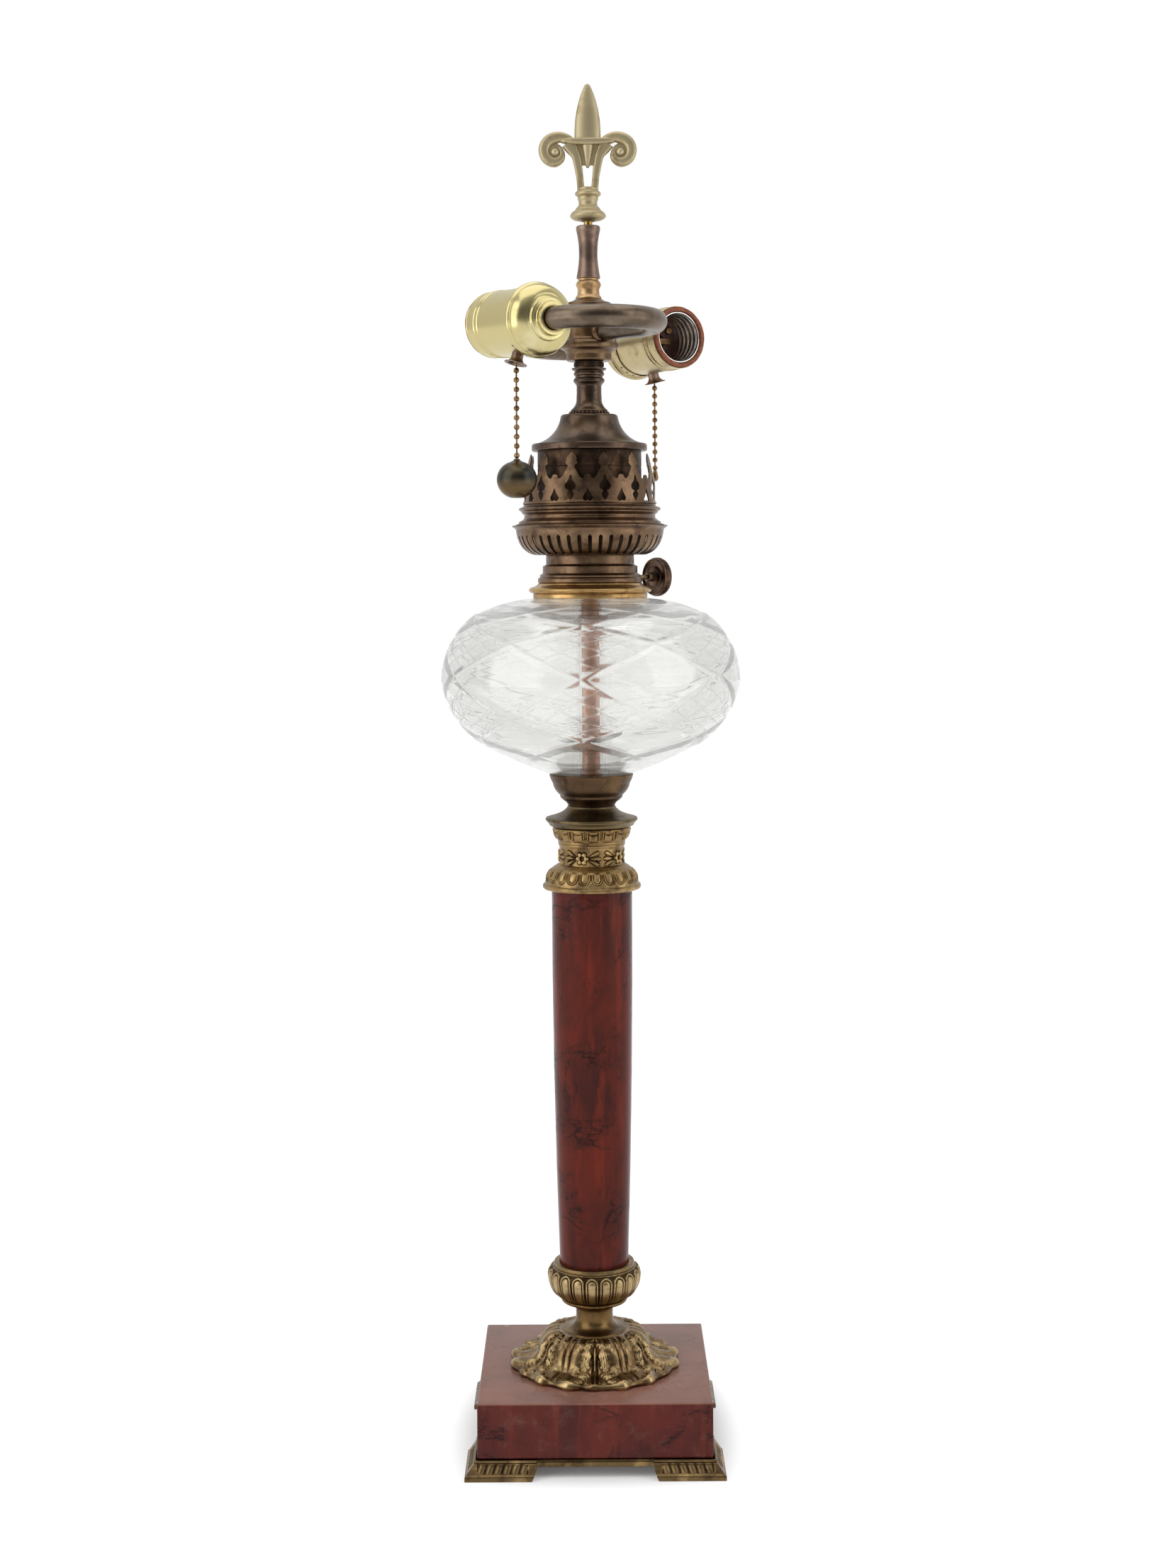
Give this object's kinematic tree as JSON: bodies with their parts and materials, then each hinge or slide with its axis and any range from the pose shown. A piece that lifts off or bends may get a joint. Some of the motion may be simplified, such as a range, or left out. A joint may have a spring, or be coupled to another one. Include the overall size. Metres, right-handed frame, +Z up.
{
  "type": "fluid lamp",
  "caption": "Tall fluid lamp with a marble block and column in gilt mounts, a cut-glass font, a slotted burner and an electric socket cluster with pull chains.",
  "frame": {"origin": "middle of the footprint on the surface that the base stands on", "axes": "+Z up along the column, -Y towards the viewer of the picture, +X to that viewer's right"},
  "size_m": [0.159, 0.1888, 0.7173],
  "materials": {
    "red_marble": "polished red-brown marble with dark veins",
    "gilt_bronze": "worn gilt over a dark patina",
    "antique_brass": "dull brown brass",
    "dark_brass": "dark oxidised brass",
    "bright_brass": "polished brass",
    "copper_brass": "coppery brown patina",
    "pale_brass": "pale lacquered brass, lightly tarnished",
    "socket_brass": "pale yellow brass sheet",
    "fibre_board": "vulcanised fibre",
    "phenolic": "moulded phenolic",
    "cut_glass": "clear glass with mitre cuts",
    "clear_tube": "clear tube",
    "steel": "plain steel",
    "ball_metal": "mottled dark bronze"
  },
  "bodies": {
    "lamp": {"foot_frame": "gilt_bronze", "base_washer": "steel", "base_nut": "steel", "marble_base": "red_marble", "leaf_socle": "gilt_bronze", "socle_neck": "gilt_bronze", "gadroon_cup": "gilt_bronze", "marble_column": "red_marble", "column_collar": "gilt_bronze", "abacus_cone": "gilt_bronze", "font_cup": "gilt_bronze", "glass_font": "cut_glass", "centre_pipe": "copper_brass", "font_sleeve": "clear_tube", "font_collar": "bright_brass", "burner_body": "antique_brass", "wick_tube": "antique_brass", "burner_basket": "antique_brass", "gallery_ring": "antique_brass", "inner_drum": "dark_brass", "gallery_crown": "antique_brass", "cone_cap": "antique_brass", "beaded_ring": "antique_brass", "stem": "antique_brass", "knurled_nut": "antique_brass", "cluster_hub": "antique_brass", "cluster_lid": "antique_brass", "near_arm": "copper_brass", "far_arm": "copper_brass", "lower_spool": "copper_brass", "upper_spool": "copper_brass", "finial_stud": "pale_brass", "near_socket_cap": "socket_brass", "near_socket_shell": "socket_brass", "near_fibre_liner": "fibre_board", "near_screw_shell": "socket_brass", "near_socket_core": "phenolic", "near_centre_contact": "steel", "near_chain_bell": "socket_brass", "far_socket_cap": "socket_brass", "far_socket_shell": "socket_brass", "far_fibre_liner": "fibre_board", "far_screw_shell": "socket_brass", "far_socket_core": "phenolic", "far_centre_contact": "steel", "far_chain_bell": "socket_brass"},
    "wick_knob": {"wick_knob": "antique_brass", "wick_shaft": "steel", "wick_sprocket": "antique_brass"},
    "finial": {"finial_knob": "pale_brass", "finial_fleur": "pale_brass"},
    "near_pull": {"near_pull_link": "copper_brass"},
    "near_chain": {"near_bead_chain": "copper_brass", "near_pull_ball": "ball_metal"},
    "far_pull": {"far_pull_link": "copper_brass"},
    "far_chain": {"far_bead_chain": "copper_brass", "far_chain_end": "copper_brass"}
  },
  "joints": [
    {"name": "near_pull", "type": "slide", "parent": "lamp", "child": "near_pull", "axis": [-0.2292, -0.1232, -0.9655], "range_m": [0, 0.01], "stiffness_N_per_m": 600, "springref_m": -0.004},
    {"name": "near_chain_swing", "type": "hinge", "parent": "near_pull", "child": "near_chain", "pos_m": [-0.03674, -0.06057, 0.56432], "axis": [-0.5187, -0.855, 0], "range_deg": [-25, 25]},
    {"name": "far_pull", "type": "slide", "parent": "lamp", "child": "far_pull", "axis": [0.2292, 0.1232, -0.9655], "range_m": [0, 0.01], "stiffness_N_per_m": 600, "springref_m": -0.004},
    {"name": "far_chain_swing", "type": "hinge", "parent": "far_pull", "child": "far_chain", "pos_m": [0.03674, 0.06057, 0.56432], "axis": [0.5187, 0.855, 0], "range_deg": [-25, 25]},
    {"name": "wick_knob_turn", "type": "hinge", "parent": "lamp", "child": "wick_knob", "pos_m": [0.03079, 0.02328, 0.4545], "axis": [0.7976, 0.6032, 0], "continuous": true},
    {"name": "finial_turn", "type": "hinge", "parent": "lamp", "child": "finial", "pos_m": [0, 0, 0.6439], "axis": [0, 0, 1], "continuous": true}
  ]
}
